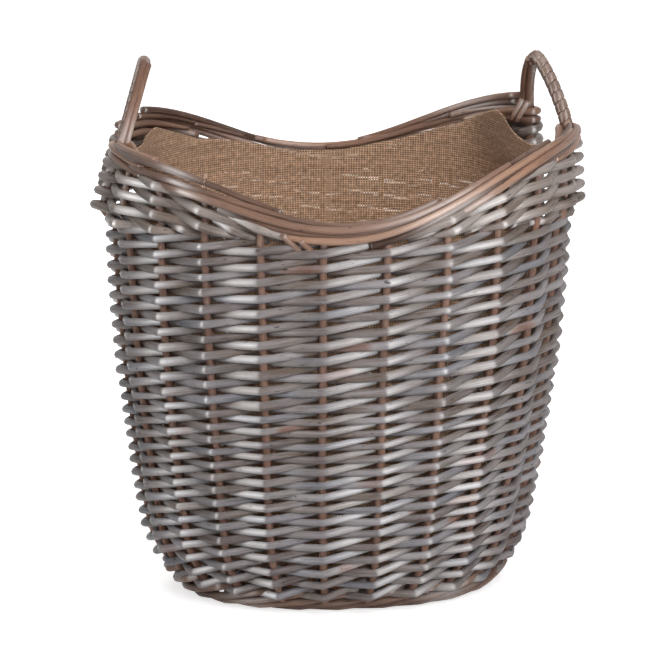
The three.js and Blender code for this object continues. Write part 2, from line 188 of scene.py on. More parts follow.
# %% Sky and soft boxes
FILL = 0.12
BOX_DISTANCE = 2.4
BOX_AIM = Vector((0.0, 0.0, 0.25))

world = bpy.data.worlds.new("studio")
world.use_nodes = True
bpy.context.scene.world = world
tree = world.node_tree
sky = tree.nodes["Background"]
sky.inputs["Color"].default_value = (1.0, 1.0, 1.0, 1.0)
tree.links.new(stretch(tree, seen_directly(tree), 0.0, 1.0, FILL, 1.0), sky.inputs["Strength"])


def soft_box(name, azimuth, elevation, width, height, watts):
    turn, rise = math.radians(azimuth), math.radians(elevation)
    away = Vector((math.sin(turn) * math.cos(rise), -math.cos(turn) * math.cos(rise), math.sin(rise)))
    lamp = bpy.data.lights.new(name, "AREA")
    lamp.shape = "RECTANGLE"
    lamp.size, lamp.size_y, lamp.energy = width, height, watts
    box = bpy.data.objects.new(name, lamp)
    box.location = BOX_AIM + away * BOX_DISTANCE
    box.rotation_euler = (-away).to_track_quat("-Z", "Y").to_euler()
    bpy.context.scene.collection.objects.link(box)
    return box


soft_box("box_front", 13, 34, 1.4, 1.4, 38).visible_glossy = False
soft_box("box_back", 188, 34, 1.4, 1.4, 32).visible_glossy = False
soft_box("strip_right", 34, 12, 1.2, 1.2, 370).visible_diffuse = False
soft_box("strip_left", -72, 12, 0.9, 1.2, 265).visible_diffuse = False
bpy.context.scene.view_settings.view_transform = "Standard"
print("four soft boxes and a fill of", FILL)

# %% [markdown]
# ## The wall as a formula
# Everything in this basket follows one surface: the middle of the woven wall. In plan it is an oval, and
# it widens upwards and draws in quickly near the foot. With the plan angle and the height, the formula
# gives a point, and a third number moves that point in or out, square to the wall. The handmade
# basket also leans a few millimetres to the right.

# %% Wall formula
RIM_HALF_WIDTH, OVAL = 0.223, 0.041
FLARE, TUCK, TUCK_HEIGHT = 0.049, 0.034, 0.074
RIM_SIDE_HEIGHT, RIM_SWOOP, SWOOP_POWER = 0.459, 0.054, 5
RIM_RIGHT_RISE, RIM_BACK_RISE = 0.005, 0.004
LEAN_AT_FOOT, LEAN_AT_RIM = -0.001, 0.003


def rim_height(angle):
    dip = RIM_SWOOP * np.abs(np.sin(angle)) ** SWOOP_POWER
    return RIM_SIDE_HEIGHT - dip + RIM_RIGHT_RISE * np.cos(angle) + RIM_BACK_RISE * np.sin(angle)


def half_width(z):
    flare = FLARE * (1 - z / RIM_SIDE_HEIGHT) ** 2
    tuck = TUCK * np.maximum(0, 1 - z / TUCK_HEIGHT) ** 2
    return RIM_HALF_WIDTH - flare - tuck


def unit(vectors):
    return vectors / np.linalg.norm(vectors, axis=-1, keepdims=True)


def wall_frame(angle, z):
    angle, z = np.broadcast_arrays(np.asarray(angle, float), np.asarray(z, float))
    a = half_width(z)
    b = a - OVAL
    slope = (half_width(z + 0.001) - half_width(z - 0.001)) / 0.002
    lean = LEAN_AT_FOOT + (LEAN_AT_RIM - LEAN_AT_FOOT) * z / RIM_SIDE_HEIGHT
    point = np.stack([a * np.cos(angle) + lean, b * np.sin(angle), z], axis=-1)
    normal = np.stack([b * np.cos(angle), a * np.sin(angle),
                       -slope * (a * np.sin(angle) ** 2 + b * np.cos(angle) ** 2)], axis=-1)
    return point, unit(normal)


def wall(angle, z, out=0.0):
    point, normal = wall_frame(angle, z)
    return point + normal * np.asarray(out)[..., None]


def smooth_step(x, low, high):
    s = np.clip((np.asarray(x, float) - low) / (high - low), 0, 1)
    return s * s * (3 - 2 * s)


print("wall half width at the foot, the middle and the rim:",
      [round(float(half_width(z)), 3) for z in (0.016, 0.23, 0.45)])

# %% [markdown]
# ## Willow
# A willow rod has a grain that runs along it, however it bends. A pattern in plain object coordinates
# would cut across the bends, so each rod carries its own straightened coordinates: how far along the rod
# a point lies, and where round it. The finish reads these. A pale wash lies over brown bark in long
# streaks and wears thin in patches, and small dark specks mark the places where side shoots grew. Where
# a rod stands proud of a stake it is made a little paler still, partly as more wash and partly as a
# painted highlight. The long fibres shine as hair does, in a line across them,
# so the shader also reads the direction of the rod, and its highlight is drawn out across that direction.

# %% Willow finish
DIRT, SPECK = colour(74, 60, 52), colour(52, 40, 33)


def willow(name, bark, wash, wash_amount, roughness, sheen):
    material, tree, shader = new_material(name)
    read = {}
    for attribute in ("grain", "tone", "crest", "axis"):
        read[attribute] = add_node(tree, "ShaderNodeAttribute")
        read[attribute].attribute_name = attribute

    def along_grain(along, across, detail, rough):
        scaled = add_node(tree, "ShaderNodeMapping", {"Scale": (along, across, across)},
                          {"Vector": read["grain"].outputs["Vector"]})
        return add_node(tree, "ShaderNodeTexNoise", {"Scale": 1.0, "Detail": detail, "Roughness": rough},
                        {"Vector": scaled.outputs[0]}).outputs["Fac"]

    streaks = along_grain(26, 700, 4.0, 0.65)
    patches = along_grain(15, 70, 3.0, 0.55)
    knots = along_grain(110, 360, 1.0, 0.4)
    lengths = along_grain(9, 9, 1.0, 0.5)

    shift = stretch(tree, lengths, 0.25, 0.75, -0.30, 0.30)
    base = colour_ramp(tree, calculate(tree, "ADD", read["tone"].outputs["Fac"], shift), bark)
    worn = calculate(tree, "MULTIPLY_ADD", streaks, 0.55, patches)
    # crest raises the pale wash where the rod stands proud of a stake: partly more wash, partly a painted
    # highlight
    proud = calculate(tree, "MULTIPLY_ADD", read["crest"].outputs["Fac"], 0.10, worn)
    cover = stretch(tree, proud, 0.62, 0.98, 0.0, wash_amount)
    washed = mix_colours(tree, cover, base, wash)
    dirt = stretch(tree, streaks, 0.46, 0.28, 0.0, 0.45)
    streaked = mix_colours(tree, dirt, washed, DIRT)
    speck = stretch(tree, knots, 0.70, 0.76, 0.0, 0.75)
    tree.links.new(mix_colours(tree, speck, streaked, SPECK), shader.inputs["Base Color"])

    tree.links.new(stretch(tree, patches, 0.2, 0.8, roughness + 0.1, roughness - 0.08),
                   shader.inputs["Roughness"])
    tree.links.new(read["axis"].outputs["Vector"], shader.inputs["Tangent"])
    shader.inputs["Anisotropic"].default_value = 0.95
    shader.inputs["Anisotropic Rotation"].default_value = 0.25
    shader.inputs["Specular IOR Level"].default_value = sheen
    bump = add_node(tree, "ShaderNodeBump", {"Strength": 0.25, "Distance": 0.0006}, {"Height": worn})
    tree.links.new(bump.outputs[0], shader.inputs["Normal"])
    return material


# %% Six willow finishes
grey_washed = willow("grey_washed_willow",
                     ((0.0, colour(84, 67, 57)), (0.22, colour(114, 98, 85)),
                      (0.45, colour(119, 109, 102)), (0.62, colour(103, 104, 111)),
                      (0.80, colour(128, 120, 117)), (0.93, colour(149, 142, 140)),
                      (0.98, colour(136, 101, 82)), (1.0, colour(124, 89, 72))),
                     colour(202, 198, 204), 0.44, 0.47, 0.30)
shoulder_washed = willow("shoulder_washed_willow",
                         ((0.0, colour(88, 69, 58)), (0.35, colour(120, 101, 88)),
                          (0.7, colour(132, 117, 107)), (1.0, colour(146, 136, 131))),
                         colour(212, 202, 198), 0.46, 0.47, 0.34)
stake_brown = willow("stake_brown_willow",
                     ((0.0, colour(132, 97, 82)), (1.0, colour(182, 142, 122))),
                     colour(192, 162, 148), 0.4, 0.5, 0.16)
border_tan = willow("border_tan_willow",
                    ((0.0, colour(72, 51, 43)), (0.35, colour(116, 86, 71)), (0.7, colour(148, 113, 95)),
                     (1.0, colour(188, 147, 122))),
                    colour(196, 164, 146), 0.28, 0.45, 0.24)
foot_brown = willow("foot_brown_willow",
                    ((0.0, colour(104, 79, 68)), (0.6, colour(138, 108, 94)), (1.0, colour(168, 136, 118))),
                    colour(186, 164, 150), 0.4, 0.5, 0.17)
wrap_finish = willow("handle_wrap_willow",
                     ((0.0, colour(116, 90, 78)), (0.5, colour(146, 118, 104)),
                      (1.0, colour(170, 144, 130))),
                     colour(196, 178, 168), 0.4, 0.45, 0.17)
print("willow finishes:", [finish.name for finish in bpy.data.materials if finish.name.endswith("_willow")])

# %% [markdown]
# ## A rod
# A rod is a path with a thickness that thins from butt to tip. Sweeping a circle by hand would mean
# listing every corner, but a curve with a round bevel does it, with one radius for each point of the path.
# The curve becomes a mesh, its rings get the straightened coordinates, and the open ends are filled.

# %% Straightened coordinates
RING_SIDES = 8
RING_TURN = np.arange(RING_SIDES) / RING_SIDES * 2 * math.pi


def path_length(points):
    return np.r_[0, np.cumsum(np.linalg.norm(np.diff(points, axis=0), axis=1))]


# crest is how far a rod stands proud of a stake; the finish paints a highlight there as extra wash
def rod_attributes(number, points, radii, tone, crest):
    along = path_length(points) + 3.7 * number + 11.3 * tone
    grain = np.stack([np.repeat(along, RING_SIDES),
                      np.outer(radii, np.cos(RING_TURN)).ravel(),
                      np.outer(radii, np.sin(RING_TURN)).ravel()], axis=1)
    return {"grain": grain,
            "axis": np.repeat(np.gradient(np.asarray(points), axis=0), RING_SIDES, axis=0),
            "tone": np.full(len(points) * RING_SIDES, tone),
            "crest": np.repeat(np.broadcast_to(crest, len(points)), RING_SIDES)}


# %% Rods from curves
ATTRIBUTES = (("grain", "FLOAT_VECTOR", "vector"), ("axis", "FLOAT_VECTOR", "vector"),
              ("tone", "FLOAT", "value"), ("crest", "FLOAT", "value"))


def close_ends(mesh):
    shell = bmesh.new()
    shell.from_mesh(mesh)
    bmesh.ops.holes_fill(shell, edges=shell.edges, sides=RING_SIDES)
    for face in shell.faces:
        face.smooth = len(face.verts) == 4
    shell.to_mesh(mesh)
    shell.free()


def rods_to_mesh(name, rods):
    curve = bpy.data.curves.new(name, "CURVE")
    curve.dimensions = "3D"
    curve.bevel_depth = 1.0
    curve.bevel_resolution = (RING_SIDES - 4) // 2
    curve.twist_mode = "Z_UP"
    for points, radii, _, _ in rods:
        spline = curve.splines.new("POLY")
        spline.points.add(len(points) - 1)
        spline.points.foreach_set("co", np.c_[points, np.ones(len(points))].ravel())
        spline.points.foreach_set("radius", radii)
    holder = bpy.data.objects.new(name, curve)
    mesh = bpy.data.meshes.new_from_object(holder)
    bpy.data.objects.remove(holder)
    bpy.data.curves.remove(curve)
    carried = [rod_attributes(number, *rod) for number, rod in enumerate(rods)]
    for attribute, kind, field in ATTRIBUTES:
        values = np.concatenate([rod[attribute] for rod in carried]).astype(np.float32)
        mesh.attributes.new(attribute, kind, "POINT").data.foreach_set(field, values.ravel())
    close_ends(mesh)
    mesh.name = name
    return mesh


# %% Placing a piece
def place_piece(mesh, material, nodes):
    mesh.materials.clear()
    mesh.materials.append(material)
    piece = bpy.data.objects.new(mesh.name, mesh)
    bpy.context.scene.collection.objects.link(piece)
    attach(piece, "root")
    if nodes:
        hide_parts(*nodes)
    return piece


def wander(key, along, size):
    return np.array([noise.noise(Vector((float(x), key * 5.3, key * 1.7))) for x in along]) * size


# %% [markdown]
# ## Stakes
# Twenty-three brown stakes stand round the base and carry the weaving. They show as short brown
# lengths between the rods. Each follows the wall from the foot to the border and is never quite straight.
# Near the handles the wall bulges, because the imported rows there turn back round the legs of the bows.
# The two stakes below the hand holes end with the level rows.

# %% Stake places
STAKE_COUNT = 23
STAKE_TURN = math.radians(-97.3)
STAKE_RADIUS = 0.0037
BOW_RADIUS = 0.0047
STAKE_FOOT, STAKE_BELOW_RIM, STAKE_BELOW_LEVEL = 0.012, 0.008, 0.004
BOW_LEGS = {"right": (6, 8), "left": (18, 16)}
BOW_DEPTH_IN_WALL = 0.070
LEVEL_TOP = 0.3870
LEG_OUT_AT_RIM = {6: 0.003, 8: 0.003, 18: -0.0072, 16: 0.0100}
LEG_SLOPE = {6: 0.09, 8: 0.09, 18: 0.32, 16: 0.32}
leg_stakes = [index for legs in BOW_LEGS.values() for index in legs]
gap_stakes = [sum(legs) // 2 for legs in BOW_LEGS.values()]


def stake_angle(position):
    return STAKE_TURN + np.asarray(position, float) / STAKE_COUNT * 2 * math.pi


def stakes_apart(position, stake):
    half_round = STAKE_COUNT / 2
    return np.abs((np.asarray(position, float) - stake + half_round) % STAKE_COUNT - half_round)


def shoulder_out(position, z):
    away = [stakes_apart(position, leg) for leg in leg_stakes]
    nearest = np.argmin(away, axis=0)
    at_rim = np.array([LEG_OUT_AT_RIM[leg] for leg in leg_stakes])[nearest]
    slope = np.array([LEG_SLOPE[leg] for leg in leg_stakes])[nearest]
    below = rim_height(stake_angle(position)) - np.asarray(z, float)
    near = 1 - smooth_step(np.min(away, axis=0), 0.3, 2.8)
    return near * smooth_step(z, 0.378, 0.394) * (at_rim + slope * below)


# %% Stakes
for index in range(STAKE_COUNT):
    angle = float(stake_angle(index))
    top = float(rim_height(angle)) - STAKE_BELOW_RIM
    if index in leg_stakes:
        top = float(rim_height(angle)) - BOW_DEPTH_IN_WALL
    if index in gap_stakes:
        top = LEVEL_TOP - STAKE_BELOW_LEVEL
    heights = np.linspace(STAKE_FOOT, top, 48)
    angles = angle + wander(index + 0.5, heights * 9, 0.010)
    radii = STAKE_RADIUS * (1.08 - 0.10 * heights / top)
    points = wall(angles, heights, shoulder_out(index, heights))
    mesh = rods_to_mesh(f"stake_rod_{index + 1:02d}", [(points, radii, rng.uniform(0.1, 0.9), 0.0)])
    place_piece(mesh, stake_brown, [f"stake_{index + 1:02d}"])
print(STAKE_COUNT, "stakes")

# %% [markdown]
# ## Side weaving
# The sides are worked as a French rand. One rod starts at every stake, and all of them climb together:
# in front of a stake, behind the next, and one layer higher each time. So at any height the rods pass
# in front of all the stakes at once, and every rod rises to the right. Two sets of rods are used, thin ones
# below and thicker ones above. A rod is stiff, so it is nearly straight between stakes and bends at them.

# %% French rand
STEPS_IN_A_STAKE = np.array([0.0, 0.03, 0.08, 0.2, 0.35, 0.5, 0.65, 0.8, 0.92, 0.97])
BEND = 0.998


def stroke(position):
    return np.arcsin(BEND * np.cos(np.pi * position)) / math.asin(BEND)


def stake_steps(first, last):
    steps = np.add.outer(np.arange(math.floor(first), math.ceil(last) + 1), STEPS_IN_A_STAKE).ravel()
    return steps[(steps >= first) & (steps <= last)]


def rand_rod(first_stake, layers, bottom, pitch, opening, butt, tip, key):
    steps = stake_steps(-1.0, layers)
    thickness = butt + (tip - butt) * steps / layers
    heights = bottom + pitch * steps + opening * (1 - np.exp(-np.maximum(steps, -0.5) / 4))
    heights = heights + wander(key, steps * 0.45, 0.0014)
    angles = stake_angle(first_stake + steps)
    radii = thickness / 2 * (1 + wander(key + 0.3, steps * 0.9, 0.12))
    radii = radii * (1 - 0.10 * smooth_step(np.sin(angles), 0.4, 0.8))
    side = stroke(steps)
    return wall(angles, heights, side * (STAKE_RADIUS + thickness / 2) * 0.98), radii, np.maximum(side, 0)


# name, layers, height of the first, rise at a stake, extra rise in the first few, butt, tip, nodes
COURSES = (
    ("lower_rand", 29.1, 0.0270, 0.00655, 0.0045, 0.0079, 0.0070, ("side_weave_1", "side_weave_2")),
    ("upper_rand", 21.1, 0.2290, 0.00765, 0.0, 0.0087, 0.0080, ("side_weave_3", "side_weave_4")),
)
for name, layers, bottom, pitch, opening, butt, tip, nodes in COURSES:
    rods = []
    for index in range(STAKE_COUNT):
        size = rng.uniform(0.92, 1.06)
        points, radii, crest = rand_rod(index, layers, bottom, pitch, opening, butt * size, tip * size,
                                        index + bottom * 300)
        rods.append((points, radii, rng.uniform(0.0, 0.9), crest))
    mesh = rods_to_mesh(name, rods)
    place_piece(mesh, grey_washed, nodes)
    print(name, len(rods), "rods", len(mesh.polygons), "faces")

# %% [markdown]
# ## Shoulders
# Beside the handles the wall stands higher than at the front. The weaver packs rows in there, which lie
# along the border and run out on the level rows one after the other. At the handle a packed rod turns
# round the leg of the bow and comes back as the next row, so that the hand hole between the legs stays
# open.

# %% Packed rows
BORDER_DROP = 0.0105
PACKED_PITCH = 0.0069
PACKED_THICKNESS = 0.0090
LEG_REACH = 0.0100
CORNERS = {"front_right": (6, 0), "back_right": (8, 12), "back_left": (16, 12), "front_left": (18, 23)}


def packed_row(leg, middle, row, pitch, key):
    direction = np.sign(middle - leg)
    away = stake_steps(0, abs(middle - leg) + 0.35)
    position = leg + direction * away
    angles = stake_angle(position)
    heights = rim_height(angles) - BORDER_DROP - (row + 0.5) * pitch
    count = max(8, int(np.argmin(np.append(heights > LEVEL_TOP + 0.15 * pitch, False))))
    position, angles, heights, away = position[:count], angles[:count], heights[:count], away[:count]
    heights = heights + wander(key, away * 0.7, 0.0012)
    last = smooth_step(away, away[-1] - 0.5, away[-1])
    radii = PACKED_THICKNESS / 2 * (1 - 0.35 * last) * (1 + wander(key + 0.3, away * 0.9, 0.10))
    reach = LEG_REACH + (STAKE_RADIUS + PACKED_THICKNESS / 2 - LEG_REACH) * smooth_step(away, 0.1, 0.8)
    side = stroke(position + row)
    offset = side * reach * (1 - last) - 0.7 * reach * last + shoulder_out(position, heights)
    return wall(angles, heights, offset), radii, np.maximum(side, 0) * (1 - last)


def packed_turn(leg, middle, row, pitch):
    direction = np.sign(middle - leg)
    phase = np.linspace(0, math.pi, 11)[1:-1]
    position = leg - direction * 0.17 * np.sin(phase)
    angles = stake_angle(position)
    heights = rim_height(angles) - BORDER_DROP - (row + 0.5 + phase / math.pi) * pitch
    side = math.cos(math.pi * (leg + row)) * np.cos(phase)
    points = wall(angles, heights, side * LEG_REACH + shoulder_out(position, heights))
    return points, np.full(len(phase), PACKED_THICKNESS / 2), np.maximum(side, 0)


# %% Four shoulders
for number, (corner, (leg, middle)) in enumerate(CORNERS.items()):
    room = float(rim_height(stake_angle(leg))) - BORDER_DROP - LEVEL_TOP
    rows = 2 * round(room / PACKED_PITCH / 2)
    pitch = room / rows
    rods = []
    for row in range(0, rows, 2):
        upper = packed_row(leg, middle, row, pitch, 90 + number * 12 + row)
        lower = packed_row(leg, middle, row + 1, pitch, 91 + number * 12 + row)
        turn = packed_turn(leg, middle, row, pitch)
        points, radii, crest = (np.concatenate([u[::-1], t, v]) for u, t, v in zip(upper, turn, lower))
        rods.append((points, radii, rng.uniform(0.05, 0.85), crest))
    mesh = rods_to_mesh(f"shoulder_{corner}", rods)
    place_piece(mesh, shoulder_washed, [f"packing_{corner}"])
    print(mesh.name, rows, "rows of", round(pitch * 1000, 1), "mm")

# %% [markdown]
# ## Rolled border
# At the rim every stake's end is bent over to the right and laid along the others: it comes up on the
# outside, rolls over the top and dies away on the inside after a few stakes. At any place several such ends
# lie together, which is what makes the border look twisted. Each end is one tapered rod whose place in
# the border's section changes along the way. At a handle the rods part and pass its leg on both sides.
# A few loose ends are added: two dip into the weaving at the front, and four lie on top at the back.

# %% Border sections
SECTION_SHARE = np.array([0.0, 0.08, 0.30, 0.56, 0.82, 1.0])
SECTION_OUT = np.array([0.0010, 0.0065, 0.0085, 0.0065, 0.0030, 0.0005])
SECTION_UP = np.array([-0.0165, -0.0118, -0.0034, 0.0042, 0.0066, 0.0072])
LEG_CLEARANCE = 0.17
COLLAR_LENGTH = 1.5
BORDER_PROUD = 0.0017
START_JITTER = 0.12
TAIL_RADIUS = 0.0035
COLLAR_HEIGHTS = (-0.0075, 0.0010)
# first and last place in stakes, height over the rim at both, distance out from the wall at both
TAILS = (
    (22.36, 22.76, -0.0110, -0.0320, 0.0085, -0.0060),
    (22.64, 22.96, -0.0110, -0.0320, 0.0085, -0.0060),
    (15.75, 13.20, 0.0152, 0.0045, 0.0000, 0.0020),
    (15.86, 13.50, 0.0090, 0.0030, 0.0030, 0.0040),
    (8.17, 11.40, 0.0165, 0.0065, 0.0000, 0.0020),
    (8.20, 11.00, 0.0095, 0.0040, 0.0030, 0.0040),
)


# %% One border rod
def soften(values):
    kernel = np.ones(9) / 9
    return np.convolve(np.pad(values, 4, mode="edge"), kernel, mode="valid")


def border_rod(start, length, first, last, butt, tip, height, proud, key):
    steps = np.arange(max(start, first + LEG_CLEARANCE), min(start + length, last - LEG_CLEARANCE), 0.08)
    share = (steps - start) / length
    angles = stake_angle(steps)
    out = np.interp(share, SECTION_SHARE, SECTION_OUT) + wander(key, steps * 0.6, 0.0020)
    up = np.interp(share, SECTION_SHARE, SECTION_UP) * height + wander(key + 0.5, steps * 0.6, 0.0022)
    up = up * (0.75 + 0.25 * smooth_step(np.minimum(steps - first, last - steps), 0.5, 4.0))
    out, up = soften(out), soften(up)
    out = out + proud + shoulder_out(steps, rim_height(angles))
    centre = wall(angles, rim_height(angles), out)
    centre[:, 2] = rim_height(angles) + up
    radii = (butt + (tip - butt) * np.clip(share, 0, 1)) / 2
    return centre, radii


# %% Rods round a leg
COLLAR_GAP, COLLAR_TURN = 0.0005, 0.19


def collar_rod(leg, direction, up, thickness):
    reach = BOW_RADIUS + COLLAR_GAP + thickness / 2
    away = np.linspace(COLLAR_LENGTH, 0, 16)
    phase = np.linspace(0, math.pi, 11)[1:-1]
    tail = smooth_step(away, 0.2, COLLAR_LENGTH)
    position = leg + direction * np.concatenate([away, -COLLAR_TURN * np.sin(phase), away[::-1]])
    side = np.concatenate([1 - 0.55 * tail, np.cos(phase), -1 + 0.55 * tail[::-1]])
    lift = np.concatenate([up - 0.006 * tail, np.full(len(phase), up), up - 0.004 * tail[::-1]])
    angles = stake_angle(position)
    rim = rim_height(angles)
    points = wall(angles, rim, side * reach + shoulder_out(position, rim))
    points[:, 2] = rim + lift
    taper = np.concatenate([1 - 0.3 * tail, np.ones(len(phase)), 1 - 0.4 * tail[::-1]])
    return points, thickness / 2 * taper


# %% Front and back borders
LATEST_ENTRY, EARLIEST_ENTRY, TIP_SHARE = 0.72, 0.12, 0.78


def make_border(name, first, last, length, apart, butt, height, nodes):
    rods = []
    for number, start in enumerate(np.arange(first - length + apart / 2, last - 0.5, apart)):
        start = start + rng.uniform(-START_JITTER, START_JITTER)
        entry = (first - start) / length
        if LATEST_ENTRY < entry or 0.0 < entry < EARLIEST_ENTRY:
            continue
        points, radii = border_rod(start, length, first, last, butt * rng.uniform(0.92, 1.06),
                                   butt * TIP_SHARE, height, BORDER_PROUD * (-1) ** number, 140 + start)
        rods.append((points, radii, rng.random(), 0.4))
    for begin, end, up_begin, up_end, out_begin, out_end in TAILS:
        if first < begin < last:
            share = np.linspace(0, 1, 12)
            angles = stake_angle(begin + (end - begin) * share)
            points = wall(angles, rim_height(angles) + up_begin + (up_end - up_begin) * share,
                          out_begin + (out_end - out_begin) * share)
            rods.append((points, TAIL_RADIUS * (1 - 0.25 * share), rng.random(), 0.4))
    for leg, direction in ((first, 1), (last, -1)):
        for up in COLLAR_HEIGHTS:
            points, radii = collar_rod(leg, direction, up, butt)
            rods.append((points, radii, rng.random(), 0.4))
    mesh = rods_to_mesh(name, rods)
    place_piece(mesh, border_tan, nodes)
    print(name, len(rods), "rods")


make_border("front_border", 18, 6 + STAKE_COUNT, 6.2, 1.25, 0.0078, 0.92,
            [f"front_border_rod_{number}" for number in (1, 2, 3, 4)])
make_border("back_border", 8, 16, 4.6, 1.15, 0.0072, 0.7,
            [f"back_border_rod_{number}" for number in (1, 2, 3)])

# %% [markdown]
# ## Foot border
# The basket stands on a plaited edge of brown rods. Each begins under the base, comes out at the
# bottom and slants up to the right until it goes in between two stakes. It is made as the rim border is,
# with another section. At the front and back the foot stands out less.

# %% Foot rods
FOOT_SHARE = np.array([0.0, 0.12, 0.35, 0.65, 0.88, 1.0])
FOOT_OUT = np.array([-0.0090, 0.0010, 0.0095, 0.0115, 0.0095, -0.0030])
FOOT_FLAT = 0.0100
FOOT_STAKES, FOOT_THICKNESS = 4.0, 0.0084
FOOT_UP = np.array([0.0055, 0.0045, 0.0060, 0.0140, 0.0240, 0.0300])


def foot_rod(start, length, thickness, key):
    steps = np.arange(start, start + length, 0.1)
    share = (steps - start) / length
    radii = thickness / 2 * (1.05 - 0.25 * share)
    out = np.interp(share, FOOT_SHARE, FOOT_OUT) - FOOT_FLAT * np.sin(stake_angle(steps)) ** 4
    up = np.interp(share, FOOT_SHARE, FOOT_UP) + wander(key, steps * 0.6, 0.0006)
    heights = np.maximum(up, radii)
    points = wall(stake_angle(steps), heights, 0.0)
    _, normal = wall_frame(stake_angle(steps), 0.25)
    flat = normal * np.array([1.0, 1.0, 0.0])
    return points + flat * out[:, None], radii


rods = []
for index in range(STAKE_COUNT):
    points, radii = foot_rod(index + rng.uniform(-0.08, 0.08), FOOT_STAKES, FOOT_THICKNESS, 200 + index)
    rods.append((points, radii, rng.random(), 0.2))
mesh = rods_to_mesh("foot_plait", rods)
place_piece(mesh, foot_brown, ["foot_border"])
print("foot of", len(rods), "rods")

# %% [markdown]
# ## Handles
# Each handle is a thick bent rod with its legs pushed down into the wall, wound from leg to leg with
# a flat strip. The strip is spun as a helix on a straight line first, which one operator does, and
# that straight winding is then bent along the bow. Two thin rods, the leaders, run side by side along one
# leg of each handle, pressed into the winding, and turn off at the rim.

# %% Bow shape
BOW_RISE = {"right": 0.0645, "left": 0.0737}
BOW_LEAN = {"right": 0.0125, "left": 0.0207}
BOW_POINT = 1.35


def bow_leg(index):
    angle = stake_angle(index)
    heights = float(rim_height(angle)) - np.linspace(BOW_DEPTH_IN_WALL, 0.0, 8)
    return wall(np.full(8, angle), heights, shoulder_out(index, heights))


def follow(place, along, values):
    return np.stack([np.interp(place, along, values[:, k]) for k in range(3)], axis=-1)


def bow_path(end, count=110):
    front, back = (bow_leg(index) for index in BOW_LEGS[end])
    middle = (front[-1] + back[-1]) / 2
    turn = np.linspace(0, math.pi, 61)
    across = np.sign(np.cos(turn)) * np.abs(np.cos(turn)) ** BOW_POINT
    rise = np.abs(np.sin(turn)) ** BOW_POINT
    arch = middle + across[:, None] * (front[-1] - middle)
    arch[:, 2] += BOW_RISE[end] * rise
    arch[:, 0] -= np.sign(middle[0]) * BOW_LEAN[end] * rise
    line = np.concatenate([front[:-1], arch, back[-2::-1]])
    along = path_length(line)
    even = np.linspace(0, along[-1], count)
    return follow(even, along, line), even


def bow_frames(line):
    tangent = unit(np.gradient(line, axis=0))
    top = line[len(line) // 2]
    side = unit(np.cross(line[-1] - line[0], top - (line[0] + line[-1]) / 2))
    other = unit(np.cross(tangent, side))
    return np.cross(other, tangent), other


# %% Winding
WRAP_WIDTH, WRAP_THICKNESS, WRAP_PITCH = 0.0096, 0.0016, 0.0102
WRAP_STEPS = 18
WRAP_ABOVE_RIM, WRAP_GAP = 0.0065, 0.0003


def straight_winding(start, stop, loops, inner):
    strip = bmesh.new()
    half = WRAP_WIDTH / 2
    profile = [(inner, -half), (inner + WRAP_THICKNESS * 0.6, -half), (inner + WRAP_THICKNESS, -half * 0.7),
               (inner + WRAP_THICKNESS, half * 0.7), (inner + WRAP_THICKNESS * 0.6, half), (inner, half)]
    corners = [strip.verts.new((r, 0.0, start + h)) for r, h in profile]
    edges = [strip.edges.new((corners[k], corners[(k + 1) % len(corners)])) for k in range(len(corners))]
    bmesh.ops.spin(strip, geom=corners + edges, cent=(0, 0, 0), axis=(0, 0, 1),
                   dvec=(0, 0, (stop - start) / (loops * WRAP_STEPS)), angle=loops * 2 * math.pi,
                   steps=loops * WRAP_STEPS, use_merge=False, use_normal_flip=False, use_duplicate=False)
    bmesh.ops.holes_fill(strip, edges=strip.edges, sides=len(profile))
    bmesh.ops.recalc_face_normals(strip, faces=strip.faces)
    return strip


# %% Winding along the bow
def winding(name, line, along, start, stop):
    loops = int(round((stop - start) / WRAP_PITCH))
    inner = BOW_RADIUS + WRAP_GAP
    strip = straight_winding(start, stop, loops, inner)
    side, other = bow_frames(line)
    grain = strip.verts.layers.float_vector.new("grain")
    axis = strip.verts.layers.float_vector.new("axis")
    tone = strip.verts.layers.float.new("tone")
    for vert in strip.verts:
        x, y, z = vert.co
        middle, u, v = (follow(z, along, values) for values in (line, side, other))
        turns = (z - start) / (stop - start) * loops
        vert[grain] = (turns * 2 * math.pi * inner, math.hypot(x, y) * 2, z - turns * WRAP_PITCH)
        vert[tone] = 0.5 + 0.6 * noise.noise(Vector((turns * 0.8, start, line[0][0] * 9)))
        vert[axis] = v * x - u * y
        vert.co = middle + u * x + v * y
    for face in strip.faces:
        face.smooth = True
    mesh = bpy.data.meshes.new(name)
    strip.to_mesh(mesh)
    strip.free()
    return mesh, loops


# %% Leaders
LEADER_RADIUS, LEADER_LIFT, LEADER_APART = 0.0031, 0.0010, 0.0056
# leg, direction that the rods face, where they leave the bow above the rim, and their last stretch
LEADERS = {"right": (1, (-0.45, -1.0, 0.0), 0.016, (-0.014, -0.006, -0.024)),
           "left": (0, (0.25, -1.0, 0.0), 0.004, (0.002, -0.007, -0.012))}


def leader_rods(end, line, along):
    leg, facing, above_rim, tail = LEADERS[end]
    reach = along[-1] / 2 - BOW_DEPTH_IN_WALL - above_rim
    share = np.linspace(0.10, 1.0, 40)
    place = along[-1] / 2 + (reach if leg else -reach) * share
    points = follow(place, along, line)
    points = np.concatenate([points, points[-1] + np.outer(np.linspace(0.2, 1.0, 5), tail)])
    tangent = unit(np.gradient(points, axis=0))
    outward = unit(facing - tangent * (tangent @ np.array(facing))[:, None])
    across = np.cross(tangent, outward)
    lift = BOW_RADIUS + LEADER_LIFT
    rods = []
    for side in (-LEADER_APART / 2, LEADER_APART / 2):
        radii = np.full(len(points), LEADER_RADIUS)
        radii[-3:] *= (0.9, 0.75, 0.5)
        rods.append((points + outward * lift + across * side, radii, rng.uniform(0.3, 0.7), 0.3))
    return rods


